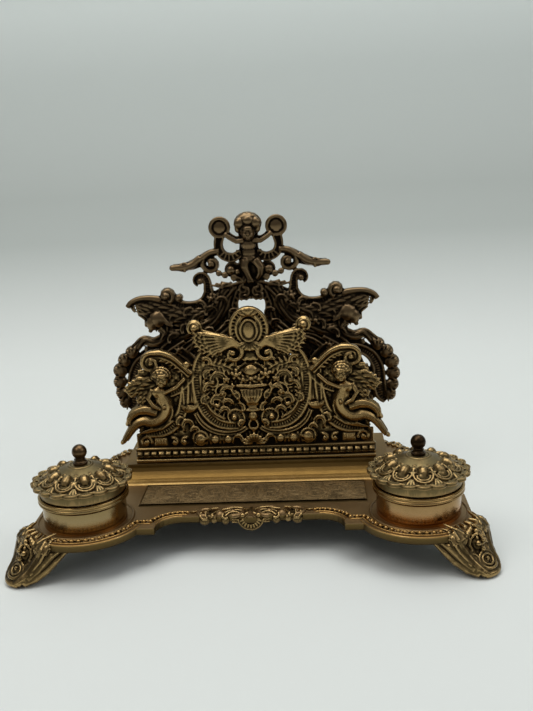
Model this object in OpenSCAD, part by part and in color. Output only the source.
// Cast brass desk inkstand with two lidded wells and a pierced letter rack.
// X runs to the right, Y to the rear, Z up from the surface it stands on.

/* [Stand] */
// Distance from the middle of the stand to the middle of a well
well_x = 110; // [104:0.5:118]
// Distance of the wells in front of the middle of the stand
well_y = 48; // [44:0.5:52]
// Height of the plate's upper face above the desk
plate_top = 27; // [24:0.5:34]
// Depth of the plate's moulded edge
plate_edge = 4.6; // [4:0.1:6]
// Radius of the round platform under a well
platform_r = 41; // [39:0.5:44]
// Depth of the pen tray below the plate's upper face
tray_depth = 1; // [0.6:0.1:1.6]
// Half length of the pen tray
tray_half = 78; // [70:0.5:80]
// Distance of the front edge before the middle, where the ornament sits
front_edge_y = 49; // [44:0.5:52]
// Distance of the squared blocks' front before the middle
block_y = 66; // [62:0.5:70]
// Distance from the middle to the centre of each sweep of the front edge
sweep_x = 46; // [42:0.5:48]
// Radius of each sweep of the front edge
sweep_r = 15.5; // [13:0.5:17]
// Diameter of a pearl in the beaded border
pearl_d = 2.5; // [2:0.1:3]
// Distance from pearl to pearl along the border
pearl_pitch = 3.8; // [3.4:0.1:5]

/* [Rack] */
// Half length of the raised plinth that carries the rack
plinth_half = 96; // [92:0.5:98]
// Distance of the plinth's front foot behind the middle
plinth_front = 6; // [4:0.5:8]
// Height of the plinth's flat top above the plate
plinth_rise = 11.5; // [10:0.5:14]
// Width of the concave cove along the plinth's front
cove_w = 12; // [9:0.5:12]
// Thickness of the plinth's walls
plinth_wall = 3; // [2.5:0.1:4]
// Distance of the front panel's face behind the middle
front_face_y = 20; // [19:0.5:24]
// Clear gap for letters between the two panels
letter_gap = 41; // [34:0.5:44]
// Thickness of a panel's ground behind its raised work
panel_t = 3; // [2.4:0.1:4]
// Thickness of the thin ground between the scrolls
ground_t = 1.4; // [1:0.1:2]
// How far the scroll bands stand proud of the ground
band_rise = 1.3; // [0.8:0.1:2]
// Height of the front panel above the plinth
front_h = 114.5; // [95:0.5:130]
// Height of the rear panel above the plinth
back_h = 175.7; // [150:0.5:195]
// Diameter of the threaded studs under a panel
stud_d = 4; // [3:0.5:5]

/* [Wells] */
// Outer radius of a well cup's wall
cup_r = 27.3; // [26:0.1:28.5]
// Height of a well cup from the platform to its rim
cup_h = 20.2; // [19:0.2:22]
// Wall of the cups
cup_wall = 0.9; // [0.7:0.1:1.4]
// Radius of the cup's rolled rim
rim_r = 29.7; // [29.2:0.1:31]
// Clearance between a glass liner and its cup
liner_gap = 0.5; // [0.4:0.1:1.2]
// Wall of the glass liners
glass_wall = 3; // [2:0.1:4]
// Radius of the lid's scalloped flange
flange_r = 33.2; // [32:0.1:34]
// Height of the lid's dome above its flange
dome_h = 11.6; // [9:0.2:14]
// Thickness of the pressed lid
lid_t = 0.9; // [0.7:0.1:1.2]
// Diameter of the knob on a lid
knob_d = 9.8; // [8:0.1:12]

/* [Feet] */
// Reach of a foot's toe from the middle of its platform
foot_reach = 59.5; // [58:0.5:66]
// Width of a foot where it meets the plate
foot_w = 36; // [30:0.5:38]
// Width of a foot's toe
toe_w = 18; // [14:0.5:20]
// Diameter of the screws that hold the feet
foot_screw_d = 4; // [3:0.5:5]

/* [Hidden] */
$fn = 48;
brass = "#8a6a34";
dark_brass = "#5f4a28";
cup_brass = "#c09450";
bronze = "#4a3222";
glass = "#c8d8d4";

plate_bottom = plate_top - plate_edge;
plinth_top = plate_top + plinth_rise;
tray_floor = plate_top - tray_depth;
pearl_ring_r = platform_r - 5.7;
ring_line_r = platform_r - 9.4;
front_back_y = front_face_y + panel_t;
back_face_y = front_back_y + letter_gap;
plinth_rear = back_face_y + panel_t + 4;
base_rear = plinth_rear + 7;
plinth_screw_x = plinth_half - 16;
ledge_y = plinth_front + cove_w;
base_half = plinth_half + 14;
side_r = 33.5;
stud_x = 62;
nut_h = 2.4;
bore_clear = 0.3;

// Wells, measured up from the platform
cup_floor = 1;
shoulder = cup_h - 3.6;
rim_in = rim_r - 1.5;
cup_in = cup_r - cup_wall;
screw_head_h = 2;
lip_proud = 0.4;
neck_h = 2.2;
fit = 0.3;
skirt_low = cup_h + lip_proud;
skirt_out = rim_in - fit;
flange_low = cup_h + 7.2;
glass_out = cup_in - liner_gap;
neck_out = skirt_out - lid_t - fit;
glass_low = cup_floor + screw_head_h + 1;
dome_top = flange_low + dome_h;
collar_h = 3.6;
knob_low = dome_top + collar_h;
knob_z = knob_low + knob_d / 2 - 0.2;
knob_stud_d = 3;

// Feet, measured along the diagonal from the middle of a well
foot_angle = 43.5;
foot_top = plate_top + 2.4;
foot_screw_at = ring_line_r - 0.8;
rear_x = well_x - 33;
rear_y = well_y;
foot_root_t = 3.5;

function reversed(p) = [for (k = [len(p) - 1 : -1 : 0]) p[k]];
function unit(v) = v / max(norm(v), 1e-6);
function curve_point(a, b, c, d, t) = 0.5 * (2 * b + (c - a) * t
    + (2 * a - 5 * b + 4 * c - d) * t * t + (3 * b - 3 * c + d - a) * t * t * t);
// A smooth run through the points, each [x, z, width]
function run(p, n = 3) = [for (i = [0 : len(p) - 2]) for (k = [0 : n - 1])
    curve_point(p[max(i - 1, 0)], p[i], p[i + 1], p[min(i + 2, len(p) - 1)], k / n), p[len(p) - 1]];
// A spiral round [x, z] from radius r0 to r1 between the angles a0 and a1
function spiral(x, z, r0, r1, a0, a1, w0, w1) = let (n = ceil(abs(a1 - a0) / 36))
    [for (k = [0 : n]) let (t = k / n, a = a0 + (a1 - a0) * t, r = r0 + (r1 - r0) * t)
    [x + r * cos(a), z + r * sin(a), w0 + (w1 - w0) * t]];
function run_side(c, s) = [for (i = [0 : len(c) - 1])
    let (a = c[max(i - 1, 0)], b = c[min(i + 1, len(c) - 1)], d = unit([b.x - a.x, b.y - a.y]))
    [c[i].x - s * d.y * c[i].z / 2, c[i].y + s * d.x * c[i].z / 2]];
function thinner(c, k) = [for (q = c) [q.x, q.y, q.z * k]];
// The raised edge on one side of a hollow band
function rail(c, s) = [for (i = [0 : len(c) - 1])
    let (a = c[max(i - 1, 0)], b = c[min(i + 1, len(c) - 1)], d = unit([b.x - a.x, b.y - a.y]),
    w = c[i].z)
    [c[i].x - s * d.y * w * 0.38, c[i].y + s * d.x * w * 0.38, w * 0.22]];

module band(c) {
    polygon(concat(run_side(c, 1), reversed(run_side(c, -1))));
}

// The scrollwork is drawn for a plinth of this half length, whose top lies at this height
drawn_half = 96;
drawn_top = 38.5;
front_drawn_h = 114.5;
back_drawn_h = 175.7;

// Stretches a drawing of the given height above the plinth to height h
module drawn(h, drawn_h) {
    translate([0, plinth_top]) scale([plinth_half / drawn_half, h / drawn_h])
        translate([0, -drawn_top]) children();
}

module disc(x, z, r) {
    translate([x, z]) circle(r, $fn = 14);
}

module both() {
    children();
    mirror([1, 0, 0]) children();
}

// Scrollwork of the front panel's right half
oval = concat(run([[25, 131, 5], [30, 123, 5.6], [35.6, 115.6, 7], [38.6, 106, 7.5], [39, 95, 7.5],
    [36.8, 83, 7.5],
    [32, 74, 7.5], [25, 68, 7], [17, 65.8, 6]]), spiral(13.5, 72, 6.4, 2, -100, -470, 5.4, 3));
spray = concat(run([[37, 135, 7], [28, 131.5, 8], [19, 129.5, 8]]),
    spiral(12, 120, 8.5, 2.2, 70, 420, 7, 3));
swag = run([[38, 107, 4], [29, 111, 4.5], [19, 110, 4.5], [8, 105, 6]]);
leaf_curl = concat(run([[20, 71, 3], [29, 77, 3.4], [34, 87, 3.6], [34, 96, 3.6]]),
    spiral(28, 99, 6, 2, 0, 400, 3.6, 2.6));
inner_curl = concat(run([[9, 84, 3], [12, 88, 3]]), spiral(21, 91, 7.6, 2, 190, -190, 3.4, 2.6));
low_curl = concat(run([[34, 82, 3], [30, 86, 3]]), spiral(25, 81.5, 5, 1.6, 80, 420, 3, 2.4));
canopy = concat(run([[43, 105, 5.5], [50, 112, 5.5], [57, 118, 6], [65, 121, 6]]),
    spiral(71, 114.5, 6.4, 2, 95, -280, 5.4, 3));
figure_frame = run([[47, 102, 4.5], [48.5, 90, 6.5], [51.5, 77, 7.5], [58, 67.5, 8], [67, 62.5, 7.5],
    [79, 61.5, 5]]);
banner = run([[42, 105, 5.5], [49, 97, 5.5], [57, 92, 5.5], [67, 91.5, 5]]);
figure_leg = run([[66, 90, 9], [61, 82, 12], [63, 74, 14], [72, 70.5, 13], [82, 72.5, 9],
    [89, 65, 6.5], [94.5, 57, 5]]);
figure_knee = run([[72, 78, 8], [81, 79.5, 7.5], [88, 76, 6], [89.5, 70, 5]]);
wing = run([[64, 100, 9], [74, 98, 14], [83, 96, 13], [89, 92, 7]]);
wing_low = run([[68, 92, 8], [76, 90, 11], [82, 85, 7]]);

// Ground between the scrolls, and the slits left open in it
front_ground = [[0, 58], [0, 128], [13, 128], [23, 130], [31, 122], [38, 112], [43, 112], [51, 112],
    [59, 118], [67, 120], [75, 112], [82, 101], [86, 94], [83, 84], [88, 76], [85, 67], [79, 60]];
front_slits = [run([[26.4, 120, 2.4], [29.6, 114, 3.2], [31.2, 107, 2.2]]), run([[31.4, 92, 1.8],
    [31.8, 86, 2]])];

// Scrollwork of the rear panel's right half
horn = run([[20, 186, 5], [29, 184.5, 6], [38, 178.5, 8], [48, 175.4, 6], [57, 175.2, 5]]);
side_ring = spiral(28.5, 177, 7, 2.2, 60, -330, 5, 3.4);
top_ring = run([[21, 197, 7], [22.3, 190, 6.5], [19.6, 183.6, 6.5], [12.5, 181, 6.5], [6, 184.5, 5]]);
arm = run([[4, 194.5, 5], [10, 194.5, 4.4], [16.5, 199, 4.6]]);
sweep_scroll = concat(run([[60, 150, 5], [52, 146.4, 7], [43, 145.4, 8], [35, 149, 8],
    [31.4, 156.6, 7]]),
    spiral(37.5, 164.5, 5.4, 2.2, 190, -60, 5.6, 4.6));
ball_scroll = spiral(63.5, 154.5, 5.2, 2, 250, -60, 5.6, 4);
crest = run([[68, 150.5, 7], [76, 152, 6], [84, 152, 5.4], [90, 149.8, 5], [93.5, 146.6, 4]]);
plume = run([[60, 143, 15], [69, 142, 20], [78, 143, 17], [86, 144, 8]]);
face = run([[70, 139, 16], [76, 135, 12], [78, 130, 8]]);
hair = run([[34, 141.5, 6], [45, 139, 10], [56, 138, 14], [68, 140, 14]]);
neck = run([[66, 138, 12], [66, 128, 9], [69, 121, 8], [76, 119, 7], [83, 121, 6.4], [89, 116, 7],
    [94, 111, 8]]);
arch = run([[60, 107, 5], [70, 110, 6], [80, 108.4, 7], [88.6, 102.6, 8], [93, 93, 9], [93.6, 83, 10],
    [95, 73, 10], [99, 68, 7]]);
strap = run([[54, 122, 8], [63, 116.5, 7], [71, 110, 6.4], [78, 101, 6], [81, 92, 6]]);
stem = run([[12, 160, 9], [19, 153, 9], [23, 143, 9], [30, 134, 9], [41, 129, 9], [54, 124, 9],
    [64, 126, 8]]);
inner_stem = run([[10, 157, 6], [14, 147, 8], [14, 136, 8], [20, 127, 8], [30, 121, 7],
    [44, 118, 7], [56, 110, 7]]);
cross_leaf = run([[26, 155, 9], [27, 147, 8], [36, 141, 7]]);
low_frame = concat(run([[82, 96, 7], [83, 84, 8], [80, 72, 8], [73, 61, 8], [62, 56, 7]]),
    spiral(56, 63, 7, 2.2, -60, -420, 6, 3.4));
low_oval = concat(run([[56, 112, 6], [47, 104, 7], [42, 92, 7.5], [42, 78, 7.5], [36, 66, 7.5],
    [26, 60, 7]]),
    spiral(20, 66, 6.6, 2, -70, -440, 6, 3.2));
low_curl_back = concat(run([[44, 90, 6], [54, 88, 5.4], [64, 90, 5]]),
    spiral(67, 81, 9, 2.4, 100, -300, 5, 3.4));
mid_scroll = concat(run([[0, 118, 9], [10, 113, 7], [19, 104, 6.4], [23, 94, 6]]),
    spiral(15.5, 88, 8.6, 2.2, 40, -320, 5.6, 3.4));
low_heart = run([[0, 74, 7], [9, 79, 6], [20, 76, 5], [38, 72, 5]]);
back_ground = [[0, 56], [0, 133], [11, 133], [14, 146], [13, 158], [20, 160], [28, 156], [33, 147],
    [44, 143],
    [60, 147], [78, 147], [76, 136], [68, 122], [80, 116], [92, 108], [97, 97], [97, 84], [98, 72],
    [88, 68], [80, 64], [64, 56]];
back_slits = [run([[80.6, 103, 2.6], [84.6, 97.6, 5], [85.4, 90.4, 2.4]]), run([[34, 136, 3.4],
    [37, 132, 3]]),
    run([[51.6, 124, 3], [55.4, 120.4, 3]]), run([[60, 116, 2.8], [65, 111.4, 3.4]]),
    run([[26, 110, 2.6], [30, 103, 3]]), run([[36.6, 78, 2.4], [38, 71.6, 2.6]])];

module bar(half, low, high) {
    translate([-half, low]) square([2 * half, high - low]);
}

module front_outline() {
    offset(delta = -0.4) offset(delta = 0.4) union() {
        bar(87.5, drawn_top, drawn_top + 11.5);
        bar(86, drawn_top + 11, drawn_top + 22.5);
        translate([0, 137]) scale([0.9, 1]) circle(16, $fn = 24);
        polygon([[-9, 130], [9, 130], [7, 117], [-7, 117]]);
        polygon([[-6, 112], [6, 112], [12.5, 97], [12.5, 94.5], [8.5, 94], [8, 86], [4.5, 80],
            [4.5, 60], [-4.5, 60], [-4.5, 80], [-8, 86], [-8.5, 94], [-12.5, 94.5], [-12.5, 97]]);
        both() {
            disc(38.5, 139, 5.6);
            disc(65, 104.5, 7);
            disc(10.5, 104, 4.5);
            translate([41.5, 60]) square([8, 52]);
            for (c = [oval, spray, swag, leaf_curl, inner_curl, low_curl, canopy, figure_frame,
                banner, figure_leg, figure_knee, wing, wing_low]) band(c);
        }
    }
}

module back_outline() {
    offset(delta = -0.4) offset(delta = 0.4) union() {
        bar(84, drawn_top, drawn_top + 9);
        bar(78, drawn_top + 8, drawn_top + 18);
        disc(0, 201, 8);
        translate([0, 205.6]) scale([1.2, 1]) circle(8.6, $fn = 18);
        polygon([[-6.5, 197], [6.5, 197], [7.5, 180], [10, 168], [11, 155], [-11, 155], [-10, 168],
            [-7.5, 180]]);
        polygon([[-5, 119], [5, 119], [4, 56], [-4, 56]]);
        disc(0, 96, 9);
        both() {
            disc(20.8, 203.5, 8);
            disc(54, 152.6, 2.9);
            disc(13, 172, 6);
            disc(93.5, 111.5, 5);
            disc(99.5, 105.6, 5.4);
            disc(103.4, 97.6, 5.8);
            disc(104.4, 88.5, 5.4);
            disc(103.6, 79.8, 5);
            disc(101.6, 72, 4.8);
            for (c = [horn, side_ring, top_ring, arm, sweep_scroll, ball_scroll, crest, plume, face,
                hair, neck, arch, strap, stem, inner_stem, cross_leaf, low_frame, low_oval,
                low_curl_back, mid_scroll, low_heart]) band(c);
        }
    }
}

// Stands a drawing of [x, z] upright with its face at y and its back at y + t
module upright(y, t) {
    translate([0, y + t, 0]) rotate([90, 0, 0]) linear_extrude(t) children();
}

module studs(y) {
    for (s = [-1, 1]) translate([s * stud_x, y, plate_bottom - nut_h - 1.6])
        cylinder(d = stud_d, h = plinth_top - plate_bottom + nut_h + 2.4);
}

// Thin ground behind the scrolls, set in a little from the back of the panel
module ground(y, h, drawn_h, points, slits) {
    upright(y + panel_t - ground_t - 0.2, ground_t) drawn(h, drawn_h) difference() {
        both() polygon(points);
        both() for (c = slits) band(c);
    }
}

// Pellet on the face of a panel, flat behind the face
module pellet(x, y, z, r) {
    difference() {
        translate([x, y + r * 0.3, z]) sphere(r, $fn = 24);
        translate([x - r - 1, y + panel_t / 2, z - r - 1]) cube([2 * r + 2, 2 * r + 2, 2 * r + 2]);
    }
}

// Pellets of both halves, [x, z, radius], moved as a drawing of height drawn_h is stretched to h
module pellets(y, h, drawn_h, spots) {
    for (q = spots) for (s = (q.x == 0 ? [1] : [-1, 1]))
        pellet(s * q.x * plinth_half / drawn_half, y, plinth_top + (q.y - drawn_top) * h / drawn_h,
        q.z);
}

module oval_ring(x, z, rx, rz, w) {
    translate([x, z]) difference() {
        scale([rx / rz, 1]) circle(rz, $fn = 24);
        scale([(rx - w) / (rz - w), 1]) circle(rz - w, $fn = 24);
    }
}

module front_panel() color(brass) {
    face = front_face_y;
    upright(face, panel_t) drawn(front_h, front_drawn_h) front_outline();
    ground(face, front_h, front_drawn_h, front_ground, front_slits);
    upright(face - band_rise, band_rise + 0.4) drawn(front_h, front_drawn_h) offset(delta = 0.02) {
        both() for (c = [oval, figure_frame, canopy, banner]) for (s = [-1, 1]) band(rail(c, s));
        both() for (c = [spray, leaf_curl, inner_curl, low_curl, wing, wing_low]) band(thinner(c, 0.5));
        oval_ring(0, 137, 14, 15.6, 2);
        oval_ring(0, 137, 8.6, 10.6, 1.6);
        translate([-11, 95]) square([22, 1.8]);
        polygon([[-7, 92.4], [7, 92.4], [5.6, 86], [2.6, 83], [-2.6, 83], [-5.6, 86]]);
    }
    upright(face - 2 * band_rise, 2 * band_rise + 0.4) drawn(front_h, front_drawn_h)
        both() for (c = [figure_leg, figure_knee]) band(thinner(c, 0.6));
    pellets(face, front_h, front_drawn_h, [[65, 104.5, 5.4], [38.5, 139, 3.6], [13.5, 72, 2.4],
        [12, 120, 2.4], [28, 99, 2],
        [21, 91, 2], [10.4, 104, 3.4], [19, 55.6, 2.8], [28, 55.6, 3], [38.5, 55.6, 3.6]]);
    bead_row();
    studs(face + panel_t / 2);
}

// Row of reels between two fillets along the foot of the front panel
module bead_row() {
    reel_d = 3.6;
    pitch = 5.3;
    half = plinth_half - 8.5;
    count = 2 * floor(half / pitch) + 1;
    for (k = [0 : count - 1]) translate([(k - (count - 1) / 2) * pitch, front_face_y, plinth_top + 6.4])
        rotate([0, 90, 0]) cylinder(d = reel_d, h = pitch * 0.78, center = true);
    for (z = [1.7, 10.4]) translate([-half, front_face_y, plinth_top + z]) rotate([0, 90, 0])
        cylinder(d = 2, h = 2 * half);
}

module back_panel() color(dark_brass) {
    face = back_face_y;
    upright(face, panel_t) drawn(back_h, back_drawn_h) back_outline();
    ground(face, back_h, back_drawn_h, back_ground, back_slits);
    upright(face - band_rise, band_rise + 0.4) drawn(back_h, back_drawn_h) offset(delta = 0.02) {
        both() for (c = [horn, top_ring, crest, neck, strap, plume, low_frame, low_oval, mid_scroll])
            band(thinner(c, 0.5));
        both() for (c = [sweep_scroll, arch]) for (s = [-1, 1]) band(rail(c, s));
        both() oval_ring(20.8, 203.5, 7.6, 7.6, 2.2);
    }
    pellets(face, back_h, back_drawn_h, [[63.5, 154.5, 3.4], [54, 152.6, 2.6], [28.5, 177, 2.4],
        [37.5, 164.5, 2.4], [13, 172, 3.4],
        [99.5, 105.6, 3.6], [103.4, 97.6, 3.8], [104.4, 88.5, 3.6], [0, 201, 6], [0, 206, 7],
        [0, 190, 5]]);
    studs(face + panel_t / 2);
}

// Plan of the plate
function front_sweep() = concat([[0, -front_edge_y]],
    [for (a = [90 : -15 : 0]) [sweep_x + sweep_r * cos(a), -front_edge_y - sweep_r + sweep_r * sin(a)]],
    [[sweep_x + sweep_r, -block_y], [sweep_x + sweep_r + 12, -block_y], [well_x - 30, -40],
    [well_x - 30, 0],
        [0, 0]]);

module plate_plan() {
    both() {
        polygon(front_sweep());
        intersection() {
            translate([well_x, -well_y]) circle(platform_r);
            translate([0, -200]) square([well_x + side_r, 400]);
        }
        difference() {
            translate([0, -45]) square([base_half + 4, 45 + rear_y]);
            translate([172, 22]) circle(62);
        }
        translate([0, rear_y - 1]) square([rear_x, base_rear - rear_y + 1]);
        intersection() {
            translate([rear_x, rear_y]) circle(platform_r);
            translate([rear_x - 1, rear_y - 1]) square([base_half + 5 - rear_x,
            base_rear - rear_y + 1]);
        }
    }
}

module pearl(x, y) {
    translate([x, y, plate_top - 0.3]) sphere(d = pearl_d);
}

module beaded_border() {
    steps = floor(95 * PI / 180 * pearl_ring_r / pearl_pitch);
    for (k = [0 : steps]) let (a = 203 + k * pearl_pitch / pearl_ring_r * 180 / PI)
        pearl(well_x + pearl_ring_r * cos(a), -well_y + pearl_ring_r * sin(a));
    for (k = [0 : 2]) pearl(sweep_x + sweep_r + 5.1 + k * pearl_pitch, -block_y + 9.6);
    inner_r = sweep_r + 7;
    for (k = [0 : 5]) let (a = 90 - k * pearl_pitch / inner_r * 180 / PI)
        pearl(sweep_x + inner_r * cos(a), -front_edge_y - sweep_r + inner_r * sin(a));
}

// Half ring of round section lying on the plate, for the scrolls of the front ornament
module scroll_ring(x, y, r, w, a0, sweep) {
    translate([x, y, plate_top]) rotate([0, 0, a0]) rotate_extrude(angle = sweep)
        translate([r, 0]) circle(w / 2);
}

// Outline of a cockle shell with its lobes spread upwards round the origin
module cockle_2d(reach, lobes, spread) {
    step = spread / (lobes - 1);
    lobe_r = 0.58 * reach * step * PI / 180 / (1 + 0.58 * step * PI / 180);
    circle(reach * 0.46);
    for (k = [0 : lobes - 1]) rotate(90 - spread / 2 + k * step) {
        translate([reach - lobe_r, 0]) circle(lobe_r);
        translate([0, -lobe_r * 0.8]) square([reach - lobe_r, lobe_r * 1.6]);
    }
}

// Cockle shell in three steps, each smaller and prouder than the last
module cockle(reach, lobes, spread, t) {
    for (q = [[1, 0.5], [0.8, 0.78], [0.56, 1]])
        linear_extrude(t * q[1]) cockle_2d(reach * q[0], lobes, spread);
}

module front_ornament() {
    ornament_y = -front_edge_y + 4.5;
    translate([0, -front_edge_y + 1, plate_top - 1.4]) rotate([90, 180, 0]) cockle(7.8, 7, 156, 4);
    both() {
        scroll_ring(12, ornament_y, 6.4, 3.2, 20, 250);
        scroll_ring(30, ornament_y, 5, 3, -90, 250);
        translate([20.5, ornament_y - 2.5, plate_top - 1]) sphere(3.2);
        translate([12, ornament_y, plate_top - 0.4]) sphere(2.6);
        translate([30, ornament_y, plate_top - 0.4]) sphere(2.2);
    }
}

module base_plate() color(brass) {
    difference() {
        union() {
            translate([0, 0, plate_bottom]) linear_extrude(plate_edge) plate_plan();
            both() translate([well_x, -well_y, plate_top]) rotate_extrude()
                translate([ring_line_r, 0]) circle(0.9);
        }
        translate([-tray_half, -32, tray_floor]) cube([2 * tray_half, 32 + plinth_front, 5]);
        both() translate([well_x, -well_y, plate_bottom - 1]) cylinder(d = stud_d + bore_clear, h = 20);
        plinth_screw_places() translate([0, 0, plate_bottom - 1]) cylinder(d = 3 + bore_clear, h = 20);
        for (s = [-1, 1]) for (y = [front_face_y, back_face_y])
            translate([s * stud_x, y + panel_t / 2, plate_bottom - 1])
                cylinder(d = stud_d + bore_clear, h = 20);
        foot_places() translate([foot_screw_at, 0, plate_bottom - 1])
            cylinder(d = foot_screw_d + 0.1, h = plate_edge + 0.4);
    }
    both() beaded_border();
    front_ornament();
}

module plinth_screw_places() {
    for (x = [-plinth_screw_x, plinth_screw_x]) for (y = [plinth_front + 15, plinth_rear - 10])
        translate([x, y, 0]) children();
}

// Section of the plinth, [y, z]: foot, concave cove, ledge, rear wall
function plinth_section() = concat([[plinth_front, plate_top]],
    [for (a = [-90 : 15 : 0]) [plinth_front + 0.8 + (cove_w - 0.8) * cos(a),
        plinth_top + (plinth_rise - 1) * sin(a)]],
    [[plinth_rear, plinth_top], [plinth_rear, plate_top]]);

module rack_plinth() color(brass) {
    hollow_y = front_back_y + 2;
    difference() {
        rotate([90, 0, 90]) translate([0, 0, -plinth_half]) linear_extrude(2 * plinth_half)
            polygon(plinth_section());
        translate([-plinth_half + plinth_wall, hollow_y, plate_top - 1])
            cube([2 * (plinth_half - plinth_wall), plinth_rear - hollow_y - plinth_wall,
                plinth_rise - plinth_wall + 1]);
        for (s = [-1, 1]) for (y = [front_face_y, back_face_y])
            translate([s * stud_x, y + panel_t / 2, plate_top - 1])
                cylinder(d = stud_d + bore_clear, h = 20);
        plinth_screw_places() translate([0, 0, plate_top - 1]) cylinder(d = 3.1, h = 8);
    }
    for (x = [-plinth_screw_x, plinth_screw_x]) translate([x, plinth_rear - 10, 0]) difference() {
        translate([0, 0, plate_top]) cylinder(d = 7, h = plinth_rise - plinth_wall + 0.5);
        translate([0, 0, plate_top - 1]) cylinder(d = 3.1, h = 8);
    }
}

module screw(d, head_d, head_h, length) {
    translate([0, 0, -head_h]) cylinder(d = head_d, h = head_h);
    cylinder(d = d, h = length);
}

module plinth_screws() color(dark_brass) {
    plinth_screw_places() translate([0, 0, plate_bottom]) screw(3, 6, 1.8, plate_edge + 6);
}

module nut(d, across, h) {
    difference() {
        cylinder(d = across / cos(30), h = h, $fn = 6);
        translate([0, 0, -1]) cylinder(d = d + 0.1, h = h + 2);
    }
}

module panel_nuts(y) {
    for (s = [-1, 1]) translate([s * stud_x, y, plate_bottom - nut_h])
        nut(stud_d, stud_d + 3, nut_h);
}

module front_panel_nuts() color(dark_brass) panel_nuts(front_face_y + panel_t / 2);

module back_panel_nuts() color(dark_brass) panel_nuts(back_face_y + panel_t / 2);

module foot_place(x, y, sx, sy) {
    translate([x, y, 0]) mirror([sx < 0 ? 1 : 0, 0, 0]) mirror([0, sy < 0 ? 1 : 0, 0])
        rotate([0, 0, foot_angle]) children();
}

module foot_places() {
    for (s = [-1, 1]) {
        foot_place(s * well_x, -well_y, s, -1) children();
        foot_place(s * rear_x, rear_y, s, 1) children();
    }
}

// Side view of a foot, [reach, z]: under the plate, down to the sole, round the toe and up the mask
function foot_side() = let (k = ring_line_r, r = foot_reach) concat(
    [[k - 5, plate_bottom], [k - 5, plate_bottom - foot_root_t], [k + 3.6, plate_bottom - foot_root_t]],
    run([[k + 5.6, plate_bottom - 5], [k + 8.6, plate_bottom - 10.6], [k + 12.4, plate_bottom - 15.4],
        [k + 15, plate_bottom - 20], [k + 17.5, 0]]),
    run([[r - 5, 0], [r - 1.5, 1], [r, 3.8], [r - 1, 7], [r - 3.8, 8.8], [r - 5.6, 12.6], [r - 8, 18.4],
        [r - 11.4, 23.4], [r - 15.4, 27.6]]),
    [[k + 8.5, foot_top], [k + 5.6, foot_top], [k + 5.6, plate_top], [k + 5.6, plate_bottom]]);

// Half width of a foot along its reach, scalloped like the leaves that wrap it
function foot_edge() = let (k = ring_line_r, r = foot_reach, h = foot_w / 2, t = toe_w / 2)
    run([[k - 5, h - 3.4], [k + 2, h - 0.8], [k + 7, h], [k + 11, h - 1.2], [k + 13, h - 3.6],
        [k + 16.5, t + 4], [k + 19, t + 1.4], [r - 6.6, t + 0.8], [r - 3, t - 0.6], [r - 0.8, t - 3],
        [r, t - 6]], 2);

// One foot, reaching out along +X from the middle of its platform
module foot(fan) {
    k = ring_line_r;
    r = foot_reach;
    difference() {
        intersection() {
            translate([0, foot_w / 2, 0]) rotate([90, 0,
            0]) linear_extrude(foot_w) polygon(foot_side());
            linear_extrude(80) polygon(concat(foot_edge(),
            [for (q = reversed(foot_edge())) [q.x, -q.y]]));
        }
        translate([foot_screw_at, 0, plate_bottom - 9]) cylinder(d = foot_screw_d + bore_clear, h = 20);
    }
    // nose, chin, cheeks, brows, toe scrolls and temple curls of the mask
    translate([r - 8.6, 0, 15.6]) sphere(2.6);
    translate([r - 5.6, 0, 9.8]) sphere(2.4);
    for (s = [-1, 1]) {
        translate([r - 9, s * 4.6, 14.6]) sphere(3.2);
        translate([r - 12.6, s * 4.4, 20.6]) sphere(3);
        translate([r - 4.6, s * (toe_w / 2 - 3), 4.6]) sphere(3.4);
        translate([r - 19, s * 12.4, 23.4]) sphere(3.8);
    }
    if (fan) translate([k + 7, 0, foot_top - 1.4]) rotate([90, 0, 90]) cockle(10.6, 5, 132, 3.6);
}

// A foot cut to fit round the edge of the plate
module fitted_foot(x, y, sx, sy, fan) {
    difference() {
        foot_place(x, y, sx, sy) foot(fan);
        translate([0, 0, plate_bottom]) linear_extrude(plate_edge) plate_plan();
    }
}

module foot_front_left() color(brass) fitted_foot(-well_x, -well_y, -1, -1, false);

module foot_front_right() color(brass) fitted_foot(well_x, -well_y, 1, -1, false);

module foot_rear_left() color(brass) fitted_foot(-rear_x, rear_y, -1, 1, true);

module foot_rear_right() color(brass) fitted_foot(rear_x, rear_y, 1, 1, true);

module foot_screws() color(dark_brass) {
    foot_places() translate([foot_screw_at, 0, plate_bottom - foot_root_t])
        screw(foot_screw_d, foot_screw_d + 2.6, 2, foot_root_t + plate_edge - 1);
}

// A well, measured up from the platform
module well(side) {
    translate([side * well_x, -well_y, plate_top]) children();
}

module well_cup() color(cup_brass) rotate_extrude() difference() {
    union() {
        polygon([[0, 0], [cup_r, 0], [cup_r, shoulder - 2.4], [rim_r - 0.6, shoulder - 0.6],
            [rim_r - 0.6, cup_h - 0.5], [rim_in, cup_h], [0, cup_h]]);
        for (z = [shoulder, cup_h - 1.2]) translate([rim_r - 1.2, z]) circle(1.2);
    }
    square([(stud_d + bore_clear) / 2, cup_h + 1]);
    translate([0, cup_floor]) square([cup_in, cup_h]);
    translate([0, shoulder]) square([rim_in, cup_h]);
}

module well_cup_left() well(-1) well_cup();

module well_cup_right() well(1) well_cup();

module well_screws() color(dark_brass) for (s = [-1, 1]) well(s) translate([0, 0, cup_floor])
    rotate([180, 0, 0]) screw(stud_d, stud_d + 4, screw_head_h, cup_floor + plate_edge + nut_h + 1.6);

module well_nuts() color(dark_brass) for (s = [-1, 1]) well(s)
    translate([0, 0, -plate_edge - nut_h]) nut(stud_d, stud_d + 3.5, nut_h);

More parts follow.
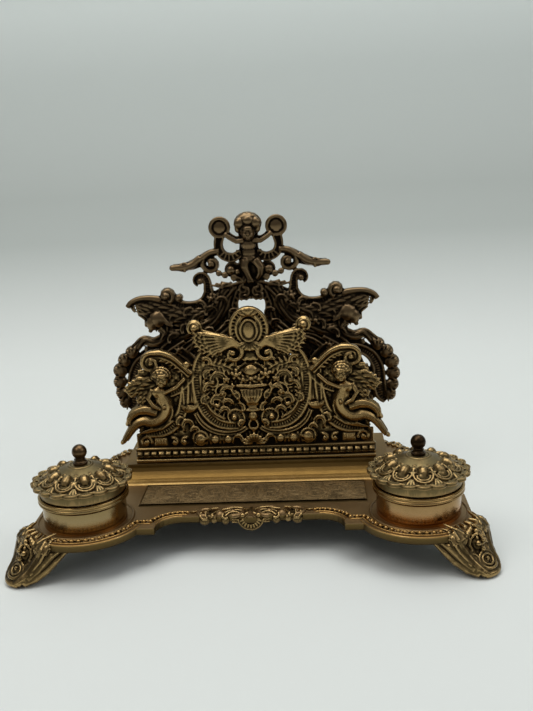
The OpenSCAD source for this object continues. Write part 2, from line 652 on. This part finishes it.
module ink_liner() color(glass) rotate_extrude() polygon([[0, glass_low], [glass_out - 1, glass_low],
    [glass_out, glass_low + 1], [glass_out, shoulder], [skirt_out, shoulder], [skirt_out, skirt_low],
    [neck_out, skirt_low], [neck_out, skirt_low + neck_h], [glass_out - glass_wall, skirt_low + neck_h],
    [glass_out - glass_wall - 0.6, glass_low + glass_wall + 1],
    [glass_out - glass_wall - 2, glass_low + glass_wall], [0, glass_low + glass_wall]]);

module ink_liner_left() well(-1) ink_liner();

module ink_liner_right() well(1) ink_liner();

// Radius and height of the lid's upper face, from the knob out to the flange
function dome_line() = [[5, dome_h], [9, dome_h - 0.9], [14, dome_h - 2.6], [19, dome_h - 5],
    [23.5, dome_h - 7.8], [27, dome_h - 9.8], [29.6, 0.9], [flange_r - 2.2, 0.9]];

// The shell, pressed from sheet: skirt, dome and the inner edge of the flange
module lid_shell() {
    line = dome_line();
    hole = (knob_stud_d + bore_clear) / 2;
    rotate_extrude() {
        polygon(concat([[hole, flange_low + dome_h]], [for (q = line) [q.x, flange_low + q.y]],
            [for (q = reversed(line)) [q.x, flange_low + q.y - lid_t]],
            [[hole, flange_low + dome_h - lid_t]]));
        translate([skirt_out - lid_t, skirt_low]) square([lid_t, flange_low - skirt_low + 0.8]);
    }
}

module scalloped_flange() {
    lobe_r = 6;
    translate([0, 0, flange_low]) linear_extrude(lid_t) difference() {
        union() {
            circle(flange_r - 2);
            for (k = [0 : 19]) rotate(k * 18 - 90) translate([flange_r - lobe_r, 0]) circle(lobe_r);
        }
        circle(skirt_out);
    }
}

module bosses(r, drop) {
    for (k = [0 : 9]) rotate([0, 0, k * 36 - 90])
        translate([20.4, 0, flange_low + dome_h - 7.6 - drop]) sphere(r);
}

module lid() color(brass) difference() {
    union() {
        lid_shell();
        scalloped_flange();
        bosses(3.2, 0);
    }
    bosses(2.6, lid_t);
}

module lid_left() well(-1) lid();

module lid_right() well(1) lid();

module knob_collar() color(bronze) translate([0, 0, dome_top]) rotate_extrude() difference() {
    union() {
        translate([0, 0]) square([4.2, collar_h]);
        translate([3.9, 1]) circle(1);
        translate([3, collar_h - 1]) square([1, 1]);
    }
    square([knob_stud_d / 2 + bore_clear / 2, collar_h]);
    translate([4.9, collar_h - 0.6]) circle(1.4);
}

module knob_collar_left() well(-1) knob_collar();

module knob_collar_right() well(1) knob_collar();

module knob() color(bronze) {
    translate([0, 0, knob_z]) sphere(d = knob_d);
    translate([0, 0, knob_low]) cylinder(d = 6, h = 1.6);
    translate([0, 0, dome_top - lid_t - 3.6]) cylinder(d = knob_stud_d, h = collar_h + lid_t + 4);
}

module knob_left() well(-1) knob();

module knob_right() well(1) knob();

module knob_nut() color(dark_brass) translate([0, 0, dome_top - lid_t - 2])
    nut(knob_stud_d, 5.5, 2);

module knob_nut_left() well(-1) knob_nut();

module knob_nut_right() well(1) knob_nut();

base_plate();
rack_plinth();
plinth_screws();
front_panel();
back_panel();
front_panel_nuts();
back_panel_nuts();
foot_front_left();
foot_front_right();
foot_rear_left();
foot_rear_right();
foot_screws();
well_cup_left();
well_cup_right();
well_screws();
well_nuts();
ink_liner_left();
ink_liner_right();
lid_left();
lid_right();
knob_collar_left();
knob_collar_right();
knob_left();
knob_right();
knob_nut_left();
knob_nut_right();
